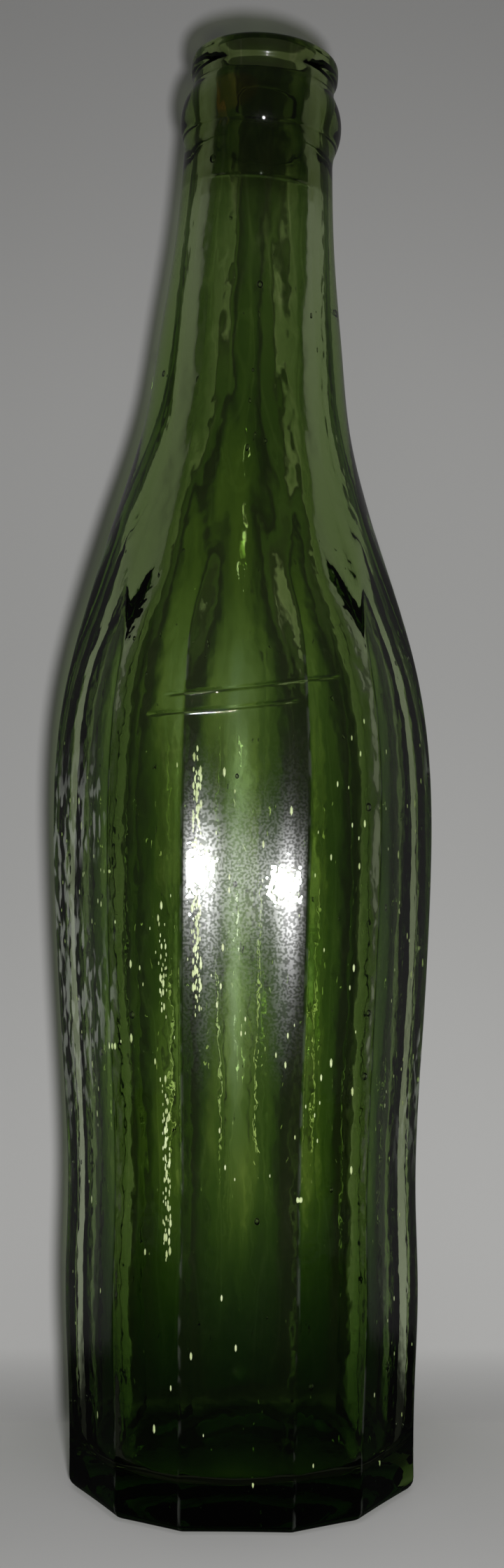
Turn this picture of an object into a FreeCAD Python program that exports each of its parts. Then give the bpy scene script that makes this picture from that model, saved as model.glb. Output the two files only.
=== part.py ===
"""Antique soda bottle: a one-piece moulded glass bottle, standing on its base.

Units are millimetres and degrees.  +Z is up, the origin is the centre of the base and
-Y is the front.  The body has twelve flat panels, wide and narrow in turn, that run out
on the shoulder.  The neck leans a little towards +X, as on the hand-finished original.
"""
import FreeCAD, Part

import os

import Sketcher

# ---------------------------------------------------------------- driving dimensions
# The bottle is drawn through stations.  Each has its rise above the one before it and
# the thickness of its wall.  A body station's round blank stands inside the widest
# radius by an inset, and a neck station's share runs from the neck's radius at 0 to the
# body's at 1.
BODY_STATIONS = [
    ("foot", 0.0, 2.95, 5.20),
    ("low", 14.0, 2.95, 5.00),
    ("bulge", 22.0, 2.25, 4.90),
    ("waist", 17.0, 2.65, 4.80),
    ("flank", 27.0, 1.55, 5.00),
    ("belly", 28.0, 0.15, 5.40),
    ("widest", 14.0, 0.0, 5.95),
]
NECK_STATIONS = [
    ("upper", 15.0, 0.946, 7.40),
    ("shoulder", 13.0, 0.819, 9.30),
    ("slope", 13.0, 0.624, 10.75),
    ("yoke", 13.0, 0.419, 11.00),
    ("throat", 13.0, 0.249, 10.30),
    ("stem", 15.0, 0.151, 9.50),
    ("taper", 17.0, 0.052, 7.70),
    ("top", 17.0, 0.0, 6.30),
]

SIZES = {
    "body_radius": 34.75,      # of the round blank at its widest
    "neck_radius": 13.50,      # at the top of the neck
    "base_glass": 7.0,         # thickness of the bottom
    "floor_round": 6.0,        # inside, where the wall meets the bottom
    "heel_round": 2.5,         # outside, round the foot
    "push_up": 2.5,            # height of the hollow under the base
    "push_up_radius": 22.0,
    "ridge_depth": 0.4,        # depth of the ridges between panels under the blank
    "wide_angle": 18.0,        # half the angle that a wide panel spans
    "lean_start": 50.0,        # height above the widest station where the neck leans
    "lean_angle": 2.56,
    "finish_tilt": 4.1,        # tilt of the collar and lip
    # Collar and lip: heights along their own tilted axis, up from the top of the neck.
    "collar_start": 2.2,
    "collar_height": 10.1,
    "collar_middle": 4.8,      # height of the collar's widest place above its start
    "collar_stand": 1.1,       # how far the collar stands out from the neck
    "groove_width": 2.1,       # between the collar and the lip
    "groove_depth": 0.55,      # inside the lip
    "lip_height": 4.6,
    "lip_step": 0.8,           # slope under the lip
    "lip_radius": 13.30,
    "lip_wall": 5.20,
    "lip_round": 1.8,          # outer edge of the lip
    "mouth_round": 1.2,        # inner edge of the lip
}

# How full a panel still is at the stations where it runs out: 1 is the whole panel and
# 0 is the round blank.  Below the first of them it is whole.
WIDE_FADE = {"shoulder": 0.95, "slope": 0.60, "yoke": 0.0}
NARROW_FADE = {"slope": 0.85, "yoke": 0.35, "throat": 0.0}
PANELS_OF_A_KIND = 6
WIDE_ANGLE = "Sizes.wide_angle"
NARROW_ANGLE = "(30 - Sizes.wide_angle)"   # the two half angles add up to 30
WIDE_TURN = -90.0              # the first wide panel faces -Y, the first narrow one +X
NARROW_TURN = 0.0
CUTTER_CLEARANCE = 1.0         # a cutter's last station stands this far off the blank
CUTTER_DEPTH = 20.0            # how far a cutter reaches outwards
TOUCHING = 0.001               # closer than this counts as touching
START_RADIUS = 10.0            # a circle's radius before the sheet sets it
START_TILT = 1.0               # a tilt before the sheet sets it
BULGE = {"round": 0.207, "dome": 0.028}   # rise of an arc as a share of its chord

document = FreeCAD.newDocument("SodaBottle")
dimensions = dict(SIZES)
for name, rise, inset, wall in BODY_STATIONS:
    dimensions.update({name + "_rise": rise, name + "_inset": inset, name + "_wall": wall})
for name, rise, share, wall in NECK_STATIONS:
    dimensions.update({name + "_rise": rise, name + "_share": share, name + "_wall": wall})
station_names = [station[0] for station in BODY_STATIONS + NECK_STATIONS]


def make_sheet():
    """Write every driving dimension to one sheet, each under its own alias."""
    sheet = document.addObject("Spreadsheet::Sheet", "Sizes")
    for row, (name, value) in enumerate(dimensions.items(), start=1):
        sheet.set("A%d" % row, name)
        sheet.set("B%d" % row, str(value))
        sheet.setAlias("B%d" % row, name)
    document.recompute()


def origin_feature(body, role):
    """Return the body's own origin plane or axis with this role, such as XY_Plane."""
    for feature in body.Origin.OriginFeatures:
        if feature.Role == role:
            return feature
    raise RuntimeError("no origin feature " + role)


def new_sketch(body, name, role):
    sketch = body.newObject("Sketcher::SketchObject", name)
    sketch.AttachmentSupport = [(origin_feature(body, role), "")]
    sketch.MapMode = "FlatFace"
    return sketch


def bind(sketch, constraint, expression):
    """Add a constraint whose value follows an expression."""
    index = sketch.addConstraint(constraint)
    sketch.setExpression("Constraints[%d]" % index, expression)


# ---------------------------------------------------------------- stations
def height_at(station, above=None):
    """Height of a station over the base, or over a station below it."""
    first = 0 if above is None else station_names.index(above) + 1
    names = station_names[first:station_names.index(station) + 1]
    return "(" + " + ".join("Sizes.%s_rise" % name for name in names) + ")"


def outer_at(station):
    """Radius of the round blank at a station."""
    if station + "_inset" in dimensions:
        return "(Sizes.body_radius - Sizes.%s_inset)" % station
    span = "(Sizes.body_radius - Sizes.neck_radius)"
    return "(Sizes.neck_radius + Sizes.%s_share * %s)" % (station, span)


def inner_at(station):
    """Radius of the cavity at a station."""
    return "%s - Sizes.%s_wall" % (outer_at(station), station)


def leaning_rise(station):
    """How far a station stands above the start of the lean, or 0."""
    if station in station_names[:station_names.index("widest") + 1]:
        return "0"
    rise = height_at(station, "widest")
    return "(%s > Sizes.lean_start ? %s - Sizes.lean_start : 0)" % (rise, rise)


def centre_shift(station):
    """Sideways shift of the neck's centre line at a station."""
    return "%s * tan(Sizes.lean_angle)" % leaning_rise(station)


def station_tilt(station):
    """Tilt of a station's plane, which grows to the tilt of the mouth."""
    return "%s / %s * Sizes.finish_tilt" % (leaning_rise(station), leaning_rise("top"))


def circle_section(body, prefix, station, radius, height):
    """A circle square to the bottle's centre line at a station."""
    sketch = new_sketch(body, prefix + station.capitalize(), "XY_Plane")
    upwards = FreeCAD.Vector(0, 0, 1)
    sketch.addGeometry(Part.Circle(FreeCAD.Vector(0, 0, 0), upwards, START_RADIUS), False)
    sketch.addConstraint(Sketcher.Constraint("Coincident", 0, 3, -1, 1))
    bind(sketch, Sketcher.Constraint("Radius", 0, START_RADIUS), radius)
    tilt = FreeCAD.Rotation(FreeCAD.Vector(0, 1, 0), START_TILT)
    sketch.AttachmentOffset = FreeCAD.Placement(FreeCAD.Vector(0, 0, 0), tilt)
    sketch.setExpression("AttachmentOffset.Base.x", centre_shift(station))
    sketch.setExpression("AttachmentOffset.Base.z", height)
    sketch.setExpression("AttachmentOffset.Rotation.Angle", station_tilt(station))
    return sketch


def panel_section(body, prefix, station, turn, distance):
    """A rectangle outside the panel's plane at a station, turned about the axis."""
    sketch = new_sketch(body, prefix + station.capitalize(), "XY_Plane")
    near = START_RADIUS
    far = near + CUTTER_DEPTH
    corners = [
        FreeCAD.Vector(near, -near, 0),
        FreeCAD.Vector(far, -near, 0),
        FreeCAD.Vector(far, near, 0),
        FreeCAD.Vector(near, near, 0),
    ]
    for index, corner in enumerate(corners):
        sketch.addGeometry(Part.LineSegment(corner, corners[(index + 1) % 4]), False)
    for index in range(4):
        sketch.addConstraint(Sketcher.Constraint("Coincident", index, 2, (index + 1) % 4, 1))
    for index in (0, 2):
        sketch.addConstraint(Sketcher.Constraint("Horizontal", index))
        sketch.addConstraint(Sketcher.Constraint("Vertical", index + 1))
    sketch.addConstraint(Sketcher.Constraint("DistanceX", 0, 1, 0, 2, CUTTER_DEPTH))
    bind(sketch, Sketcher.Constraint("DistanceY", 1, 1, 1, 2, 2 * near), "Sizes.body_radius")
    bind(sketch, Sketcher.Constraint("DistanceY", 0, 1, -1, 1, near), "Sizes.body_radius / 2")
    bind(sketch, Sketcher.Constraint("DistanceX", -1, 1, 0, 1, near), distance)
    turned = FreeCAD.Rotation(FreeCAD.Vector(0, 0, 1), turn)
    sketch.AttachmentOffset = FreeCAD.Placement(FreeCAD.Vector(0, 0, 0), turned)
    sketch.setExpression("AttachmentOffset.Base.z", height_at(station))
    return sketch


# ---------------------------------------------------------------- the glass
def loft(body, kind, name, sections):
    feature = body.newObject(kind, name)
    feature.Profile = sections[0]
    feature.Sections = sections[1:]
    feature.Ruled = False
    body.Tip = feature
    document.recompute()
    return feature


def make_blank(body):
    """The round outside of the bottle, from the foot to the top of the neck."""
    sections = [
        circle_section(body, "Outer", name, outer_at(name), height_at(name))
        for name in station_names
    ]
    loft(body, "PartDesign::AdditiveLoft", "Blank", sections)


def cut_panels(body, prefix, angle, fade, turn):
    """Cut one kind of panel: a cutter lofted through the stations, six times round."""
    sections = []
    for name in station_names:
        fullness = fade.get(name, 1.0)
        distance = "(%s - %g * Sizes.ridge_depth) * cos(%g * %s)" % (
            outer_at(name), fullness, fullness, angle)
        if fullness == 0.0:
            distance = "%s + %g" % (outer_at(name), CUTTER_CLEARANCE)
        sections.append(panel_section(body, prefix, name, turn, distance))
        if fullness == 0.0:
            break
    cutter = loft(body, "PartDesign::SubtractiveLoft", prefix + "Panel", sections)
    pattern = body.newObject("PartDesign::PolarPattern", prefix + "Panels")
    pattern.Originals = [cutter]
    pattern.Axis = (origin_feature(body, "Z_Axis"), [""])
    pattern.Angle = 360
    pattern.Occurrences = PANELS_OF_A_KIND
    body.Tip = pattern
    document.recompute()


def round_edges_at(body, name, level, radius):
    """Round every edge of the body so far that lies level at this height."""
    base = body.Tip
    edges = [
        "Edge%d" % (index + 1)
        for index, edge in enumerate(base.Shape.Edges)
        if abs(edge.BoundBox.ZMin - level) < TOUCHING and abs(edge.BoundBox.ZMax - level) < TOUCHING
    ]
    fillet = body.newObject("PartDesign::Fillet", name)
    fillet.Base = (base, edges)
    fillet.setExpression("Radius", radius)
    body.Tip = fillet
    document.recompute()


def cut_cavity(body):
    """Hollow the bottle from its floor to the top of the neck, and round the floor."""
    sections = []
    for name in station_names:
        level = "Sizes.base_glass" if name == "foot" else height_at(name)
        sections.append(circle_section(body, "Inner", name, inner_at(name), level))
    loft(body, "PartDesign::SubtractiveLoft", "Cavity", sections)
    round_edges_at(body, "FloorRound", dimensions["base_glass"], "Sizes.floor_round")


def sized(expression):
    """Return a sum of named sizes as its value and as an expression on the sheet."""
    value, sign, words = 0.0, 1, []
    for word in expression.split():
        if word in ("+", "-"):
            sign = 1 if word == "+" else -1
            words.append(word)
        else:
            value += sign * dimensions.get(word, 0.0)
            words.append("Sizes." + word if word in dimensions else word)
    return value, " ".join(words)


def outline_edge(edge, start, end):
    """The line or arc of one outline edge, near enough for the sketch to solve."""
    if edge == "line":
        return Part.LineSegment(start, end)
    if edge[0] == "through":
        middle = FreeCAD.Vector(sized(edge[1])[0], sized(edge[2])[0], 0)
    else:
        chord = end - start
        outwards = FreeCAD.Vector(chord.y, -chord.x, 0)
        middle = (start + end) * 0.5 + outwards * BULGE[edge[0]]
    return Part.Arc(start, middle, end)


def fix_point(sketch, index, place):
    """Hold an edge's start at its named radius and height, or on an axis at 0."""
    for value, rule, kind, axis in (place[0] + ("DistanceX", -2), place[1] + ("DistanceY", -1)):
        if value == 0:
            sketch.addConstraint(Sketcher.Constraint("PointOnObject", index, 1, axis))
        else:
            bind(sketch, Sketcher.Constraint(kind, -1, 1, index, 1, value), rule)


def shape_arc(sketch, index, edge):
    """Hold an arc to its radius, to the point it runs through or to the axis."""
    if edge[0] == "round":
        radius, rule = sized(edge[1])
        bind(sketch, Sketcher.Constraint("Radius", index, radius), rule)
    elif edge[0] == "dome":
        sketch.addConstraint(Sketcher.Constraint("PointOnObject", index, 3, -2))
    else:
        place = (sized(edge[1]), sized(edge[2]))
        point = Part.Point(FreeCAD.Vector(place[0][0], place[1][0], 0))
        mark = sketch.addGeometry(point, True)
        fix_point(sketch, mark, place)
        sketch.addConstraint(Sketcher.Constraint("PointOnObject", mark, 1, index))


def outline_sketch(body, name, outline):
    """Draw a closed outline beside the sketch's upright axis, counter-clockwise.

    Each corner is (radius, height, edge).  Its edge runs to the next corner and is
    "line", ("round", radius) for a quarter round, ("through", radius, height) for an
    arc through that point, or ("dome",) for an arc that is level at the axis."""
    sketch = new_sketch(body, name, "XZ_Plane")
    places = [(sized(radius), sized(height)) for radius, height, edge in outline]
    points = [FreeCAD.Vector(place[0][0], place[1][0], 0) for place in places]
    count = len(outline)
    for index, (radius, height, edge) in enumerate(outline):
        end = points[(index + 1) % count]
        sketch.addGeometry(outline_edge(edge, points[index], end), False)
    for index, (radius, height, edge) in enumerate(outline):
        following = (index + 1) % count
        sketch.addConstraint(Sketcher.Constraint("Coincident", index, 2, following, 1))
        fix_point(sketch, index, places[index])
        if edge != "line":
            shape_arc(sketch, index, edge)
    document.recompute()
    return sketch


def revolve(body, kind, name, sketch):
    feature = body.newObject(kind, name)
    feature.Profile = (sketch, [""])
    feature.ReferenceAxis = (sketch, ["V_Axis"])
    feature.Angle = 360
    body.Tip = feature
    document.recompute()


def hollow_base(body):
    """The shallow dome under the base."""
    outline = [
        ("0", "0", "line"),
        ("push_up_radius", "0", ("dome",)),
        ("0", "push_up", "line"),
    ]
    sketch = outline_sketch(body, "PushUpOutline", outline)
    revolve(body, "PartDesign::Groove", "PushUp", sketch)


def make_finish(body):
    """The collar and lip, turned about their own axis on top of the neck."""
    collar_end = "collar_start + collar_height"
    lip_start = collar_end + " + groove_width"
    lip_top = lip_start + " + lip_height"
    groove = "lip_radius - groove_depth"
    mouth = "lip_radius - lip_wall"
    widest = ("through", "neck_radius + collar_stand", "collar_start + collar_middle")
    outline = [
        ("neck_radius - top_wall", "0", "line"),
        ("neck_radius", "0", "line"),
        ("neck_radius", "collar_start", widest),
        (groove, collar_end, "line"),
        (groove, lip_start, "line"),
        ("lip_radius", lip_start + " + lip_step", "line"),
        ("lip_radius", lip_top + " - lip_round", ("round", "lip_round")),
        ("lip_radius - lip_round", lip_top, "line"),
        (mouth + " + mouth_round", lip_top, ("round", "mouth_round")),
        (mouth, lip_top + " - mouth_round", "line"),
    ]
    sketch = outline_sketch(body, "FinishOutline", outline)
    tilt = FreeCAD.Rotation(FreeCAD.Vector(0, 0, -1), START_TILT)
    sketch.AttachmentOffset = FreeCAD.Placement(FreeCAD.Vector(0, 0, 0), tilt)
    sketch.setExpression("AttachmentOffset.Base.x", centre_shift("top"))
    sketch.setExpression("AttachmentOffset.Base.y", height_at("top"))
    sketch.setExpression("AttachmentOffset.Rotation.Angle", "Sizes.finish_tilt")
    document.recompute()
    revolve(body, "PartDesign::Revolution", "Finish", sketch)


def make_bottle():
    """Build the whole bottle as one body."""
    make_sheet()
    body = document.addObject("PartDesign::Body", "Bottle")
    body.Label = "bottle"
    make_blank(body)
    cut_panels(body, "Wide", WIDE_ANGLE, WIDE_FADE, WIDE_TURN)
    cut_panels(body, "Narrow", NARROW_ANGLE, NARROW_FADE, NARROW_TURN)
    round_edges_at(body, "HeelRound", 0.0, "Sizes.heel_round")
    hollow_base(body)
    cut_cavity(body)
    make_finish(body)
    return body


def check_document(bodies):
    """Stop if any object failed, or a body isn't one valid solid."""
    for thing in document.Objects:
        if "Invalid" in thing.State or "Error" in thing.State:
            raise RuntimeError("%s failed: %s" % (thing.Name, thing.State))
    for body in bodies:
        shape = body.Shape
        if shape.isNull() or not shape.isValid() or len(shape.Solids) != 1:
            raise RuntimeError(body.Label + " is not one valid solid")


def main():
    bodies = [make_bottle()]
    document.recompute()
    check_document(bodies)
    os.makedirs("parts", exist_ok=True)
    for body in bodies:
        body.Shape.exportStep("parts/%s.step" % body.Label)
        solid = body.Shape.Solids[0]
        box = solid.BoundBox
        print("%s: %.1f x %.1f x %.1f mm, %.1f cm3" % (
            body.Label, box.XLength, box.YLength, box.ZLength, solid.Volume / 1000))


main()
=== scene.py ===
import bpy
import math

import numpy as np
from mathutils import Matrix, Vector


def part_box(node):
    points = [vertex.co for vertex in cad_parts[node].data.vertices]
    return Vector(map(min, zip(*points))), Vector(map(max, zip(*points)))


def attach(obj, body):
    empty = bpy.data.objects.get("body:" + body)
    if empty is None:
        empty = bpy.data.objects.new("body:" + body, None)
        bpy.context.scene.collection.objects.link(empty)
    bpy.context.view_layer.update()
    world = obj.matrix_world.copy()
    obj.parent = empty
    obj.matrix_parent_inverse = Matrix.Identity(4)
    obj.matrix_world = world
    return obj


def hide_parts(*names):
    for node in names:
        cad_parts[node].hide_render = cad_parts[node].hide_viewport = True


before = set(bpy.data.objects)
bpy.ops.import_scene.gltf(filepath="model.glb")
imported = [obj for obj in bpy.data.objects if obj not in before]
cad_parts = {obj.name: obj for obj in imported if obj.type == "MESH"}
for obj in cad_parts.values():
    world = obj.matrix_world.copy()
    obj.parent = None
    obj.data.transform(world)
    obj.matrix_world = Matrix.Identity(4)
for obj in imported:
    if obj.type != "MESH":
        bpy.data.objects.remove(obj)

bl_info = {
    "name": "Antique Soda Bottle",
    "version": (1, 0, 0),
    "blender": (4, 5, 0),
    "location": "View3D > Sidebar > Soda Bottle",
    "description": "Makes a green antique soda bottle with twelve panels, and its stage",
    "category": "Add Mesh",
}

CAD_LOW, CAD_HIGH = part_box("bottle")
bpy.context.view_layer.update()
MM = 0.001
WHITE = (1.0, 1.0, 1.0)

# ---------------------------------------------------------------- the bottle's stations
# Millimetres.  Each has its height, the radius of the round glass before its panels are
# pressed flat, and the thickness of its wall.
STATIONS = [
    ("foot", 0.0, 31.8, 5.20),
    ("low", 14.0, 31.8, 5.00),
    ("bulge", 36.0, 32.5, 4.90),
    ("waist", 53.0, 32.1, 4.80),
    ("flank", 80.0, 33.2, 5.00),
    ("belly", 108.0, 34.6, 5.40),
    ("widest", 122.0, 34.75, 5.95),
    ("upper", 137.0, 33.6, 6.20),
    ("shoulder", 150.0, 30.9, 7.20),
    ("slope", 163.0, 26.75, 9.00),
    ("yoke", 176.0, 22.4, 9.00),
    ("throat", 189.0, 18.8, 8.20),
    ("stem", 204.0, 16.7, 7.50),
    ("taper", 221.0, 14.6, 6.00),
    ("top", 238.0, 13.5, 5.70),
]
PANELS_OF_A_KIND = 6
# The angle that a wide and a narrow panel span together.
PITCH = 2 * math.pi / PANELS_OF_A_KIND
# Heights in millimetres over which the wide and the narrow panels run out.
WIDE_END = (147, 180)
NARROW_END = (155, 190)
TWIST_END = 128

# The seam where the collar was pressed on, and the line round the collar's widest part.
FINISH_SEAM = 231.2 * MM
COLLAR_LINE = 241.3 * MM
# How far the axis of the collar and lip stands to the side, and its tilt in degrees.
FINISH_SIDE = 3.5 * MM
FINISH_TILT = 4.1

# A press mark on the front panel: a hollow on one side and a swelling on the other.
MARK_TURN = math.radians(-1.0)
MARK_REACH = math.radians(7.4)
MARK_HEIGHT = 106 * MM
MARK_TALL = 17 * MM
MARK_EDGE = 6.0

# Two folds across the front of the shoulder, in millimetres: the height at the middle, the
# rise and the bow over FOLD_RUN to the side, and where each starts and ends.
FOLDS = [(140.5, 2.2, 0.6, -13, 17), (137.2, 2.0, 1.0, -16, 10)]
FOLD_RUN = 20 * MM
FOLD_WIDTH = 0.32 * MM
FOLD_TAPER = 2 * MM

# Noises: how far each is stretched across and along the bottle, its waves to a metre and
# its octaves.
NOISES = {
    "outer wave": (1.0, 0.45, 55.0, 1.0),
    "inner wave": (1.0, 0.5, 42.0, 1.5),
    "streaks": (1.0, 0.12, 230.0, 1.5),
    "flutes": (1.0, 0.06, 75.0, 1.0),
    "orange peel": (1.0, 1.0, 750.0, 1.0),
    "lumps": (1.0, 0.7, 320.0, 1.5),
    "mottle": (1.0, 0.35, 95.0, 2.0),
    "painted caustics": (1.0, 0.14, 190.0, 1.0),
    "darkening": (1.0, 1.0, 300.0, 0.0),
    "rubbed patches": (1.0, 0.5, 60.0, 0.0),
    "scratches": (1.0, 0.35, 700.0, 1.0),
    "sheen": (1.0, 0.1, 260.0, 0.0),
    "grit": (1.0, 1.0, 2400.0, 0.0),
    "breaks": (0.5, 1.0, 150.0, 2.0),
    "cloud": (1.0, 1.0, 400.0, 2.0),
    "speck_look": (1.0, 1.0, 300.0, 2.0),
}

# Distances in millimetres over which a look comes in.  Most are heights.
ZONES = {
    # Some of these bring in painted light and painted shade inside and outside the glass.
    "foot": (-1, 5), "low_painted_shade": (12, 55),
    "clean strip": (45, 85), "clean strip's end": (150, 166), "clean strip's side": (2, 8.5),
    "shoulder": (115, 150), "shoulder's end": (165, 205),
    "right flank": (8, 13), "left flank": (11, 17), "flanks' end": (140, 165),
    "neck's film": (165, 190), "neck's streaks": (150, 185), "neck's lumps": (150, 190),
    "finish": (231, 238), "finish's sheen": (231, 236), "mouth": (244, 250),
    "front of the seam": (-0.3, 0.6), "back of the seam": (-6, 6), "seam's end": (7.8, 9.5),
    # Where the right flank is darker.
    "darkened flank": (21, 26), "darkened flank's foot": (30, 60), "darkened flank's end": (120, 150),
    "rubbed flank": (20, 24), "rubbed foot": (50, 90), "rubbed end": (118, 135),
    "belt": (70, 88), "belt's end": (126, 142),
    "loose specks": (50, 100), "loose specks' end": (120, 140),
    "low cloth": (10, 120), "high cloth": (140, 220), "far cloth": (85, 170),
    "top cloth": (290, 400),
}

# Values of a noise, of the nearness to a ridge or of the slant over which a look comes in.
EDGES = {
    "clean strip": (0.15, 0.42), "film_and_painted_shade": (0.36, 0.68), "stain": (0.5, 1.3),
    "darkening": (0.3, 0.7), "slant": (0.10, 0.46), "rim": (0.25, 1.0),
    "scratches": (0.50, 0.60), "rubbed patches": (0.52, 0.60),
    "worn ridges": (0.95, 1.0), "worn scratches": (0.45, 0.6), "rough ridges": (0.25, 0.7),
    "grit": (0.35, 0.65), "streaks": (0.35, 0.7), "shiny ridges": (0.3, 0.8),
    "breaks": (0.30, 0.44), "cloud": (0.3, 0.8), "speck_look": (0.3, 0.7),
}


def length(name, text, size):
    """A length property, given in millimetres and kept in metres."""
    return bpy.props.FloatProperty(
        name=name, description=text, default=size * MM, min=0.0, unit="LENGTH", precision=5)


def angle(name, text, degrees):
    """An angle property, given in degrees."""
    return bpy.props.FloatProperty(
        name=name, description=text, default=math.radians(degrees), subtype="ANGLE")


def number(name, text, value):
    """A plain number."""
    return bpy.props.FloatProperty(name=name, description=text, default=value)


def count(name, text, value):
    """A whole number of at least one."""
    return bpy.props.IntProperty(name=name, description=text, default=value, min=1)


def colour(name, text, red, green, blue):
    """A colour in linear light."""
    return bpy.props.FloatVectorProperty(
        name=name, description=text, default=(red, green, blue), subtype="COLOR",
        size=3, min=0.0, max=1.0)


class BottleShape(bpy.types.PropertyGroup):
    """Sizes of the glass."""

    around: count("Around", "Faces across each panel", 20)
    row_step: length("Row Step", "Distance between rows of faces up the body", 1.62)
    base_glass: length("Base Glass", "Thickness of the bottom", 7.0)
    floor_round: length("Floor Round", "Inside, where the wall meets the bottom", 3.6)
    heel_round: length("Heel Round", "Outside, round the foot", 2.5)
    push_up: length("Push-up", "Height of the hollow under the base", 2.5)
    push_up_radius: length("Push-up Radius", "Radius of the hollow under the base", 22.0)
    wide_half: angle("Wide Half Angle", "Half the angle that a wide panel spans", 18.0)
    ridge_depth: length("Ridge Depth", "How far the ridges stand inside the round glass", 0.4)
    ridge_round: length("Ridge Round", "How softly two panels meet", 0.25)
    hollow: length("Panel Hollow", "How far the middle of a wide panel sinks", 0.13)
    mark: length("Press Mark", "Height of the press mark on the front panel", 0.115)
    twist_foot: angle("Twist at Foot", "Turn of the panels at the foot", -1.6)
    twist_top: angle("Twist at Shoulder", "Turn of the panels at the shoulder", 1.6)
    lean_start: length("Lean Start", "Height where the neck begins to lean", 172.0)
    lean_angle: angle("Lean", "Lean of the neck", 2.56)
    finish_tilt: angle("Mouth Tilt", "Tilt of the collar and lip", FINISH_TILT)


class FinishShape(bpy.types.PropertyGroup):
    """Sizes of the collar and lip, up from the top of the neck."""

    collar_start: length("Collar Start", "Height where the collar begins", 2.2)
    collar_height: length("Collar Height", "Height of the collar", 10.1)
    collar_middle: length("Collar Middle", "Height of its widest place over its start", 4.8)
    collar_stand: length("Collar Stand", "How far the collar stands out", 1.1)
    groove_width: length("Groove Width", "Between the collar and the lip", 2.1)
    groove_depth: length("Groove Depth", "How far the groove lies inside the lip", 0.55)
    lip_height: length("Lip Height", "Height of the lip", 4.6)
    lip_step: length("Lip Step", "Height of the slope under the lip", 0.8)
    lip_radius: length("Lip Radius", "Outer radius of the lip", 13.3)
    lip_wall: length("Lip Wall", "Thickness of the glass at the mouth", 5.2)
    lip_round: length("Lip Round", "Rounding of the lip's outer edge", 1.8)
    mouth_round: length("Mouth Round", "Rounding of the lip's inner edge", 1.2)


class GlassFlow(bpy.types.PropertyGroup):
    """How uneven the hand-made glass is."""

    outer_wave: length("Outer Wave", "Height of the slow waves outside", 0.16)
    inner_wave: length("Inner Wave", "Height of the slow waves inside", 0.55)
    streak: length("Streaks", "Height of the upright streaks inside", 0.30)
    fluting: length("Flutes", "Height of the long upright flutes inside", 0.45)
    seed: count("Seed", "Changes every wave and streak", 3)


class GlassLooks(bpy.types.PropertyGroup):
    """Colours of the glass, of what clings to it, and of the painted light and shade on it."""

    passes: colour("Passes", "Colour that the glass lets through", 0.36, 0.54, 0.03)
    density: number("Density", "How strongly each metre of glass darkens", 86.0)
    # The darkest tint inside is mostly painted shade, for the shadowed cloth seen through the
    # core.
    film_and_painted_shade: colour("Film", "Darkest tint of the film inside", 0.32, 0.47, 0.14)
    # Painted shade low down inside.
    low_painted_shade: colour("Dregs", "Further tint low down inside", 0.36, 0.50, 0.28)
    # Painted shade on the collar and lip and in the seam under the collar, and a darker right
    # flank.
    darkening: colour("Grime", "Tint of the grime on the collar and lip", 0.42, 0.46, 0.28)
    # Painted shade where the inside is seen aslant.
    slant: colour("Slanting Film", "Tint of the film where it is seen aslant", 0.24, 0.34, 0.15)
    stain: colour("Stain", "Tint of the rusty stain inside the collar", 0.95, 0.42, 0.10)
    # Painted light: the pale tint down the front and the glow at the top of that strip.
    clean: colour("Clean Strip", "Tint of the clean glass down the front", 0.92, 1.0, 0.86)
    rim: colour("Rim", "Tint of the edges in the bottle's shadow", 0.08, 0.09, 0.07)
    scuff: colour("Scuff", "Colour of rubbed glass", 0.62, 0.66, 0.58)
    # Pale specks that stand in for glints: painted highlights.
    scale: colour("Scale", "Colour of the specks inside", 0.92, 0.93, 0.74)
    dark_glint_specks: colour("Dark Scale", "Colour of the darker specks inside", 0.60, 0.62, 0.40)
    # The lightest tint inside, where the painted light falls.
    film_painted_light: colour("Light Film", "Lightest tint of the film inside", 0.96, 1.0, 0.66)
    bend: number("Refractive Index", "How strongly the glass bends light", 1.52)


class GrainShape(bpy.types.PropertyGroup):
    """Bubbles in the wall, and pale specks on the inside that stand in for glints."""

    seed: count("Seed", "Changes where every grain lies", 4)
    seed_density: number("Seeds", "Bubbles to a square metre of glass", 4200.0)
    seed_least: length("Smallest Seed", "Radius of the smallest bubble", 0.10)
    seed_most: length("Largest Seed", "Radius of the largest bubble", 0.62)
    # Sizes and density of the pale specks that stand in for glints.
    glint_speck_density: number("Specks", "Specks to a square metre where they are thickest", 6000000.0)
    smallest_glint_speck: length("Smallest Speck", "Radius of the smallest speck", 0.10)
    largest_glint_speck: length("Largest Speck", "Radius of the largest speck", 0.28)


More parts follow.
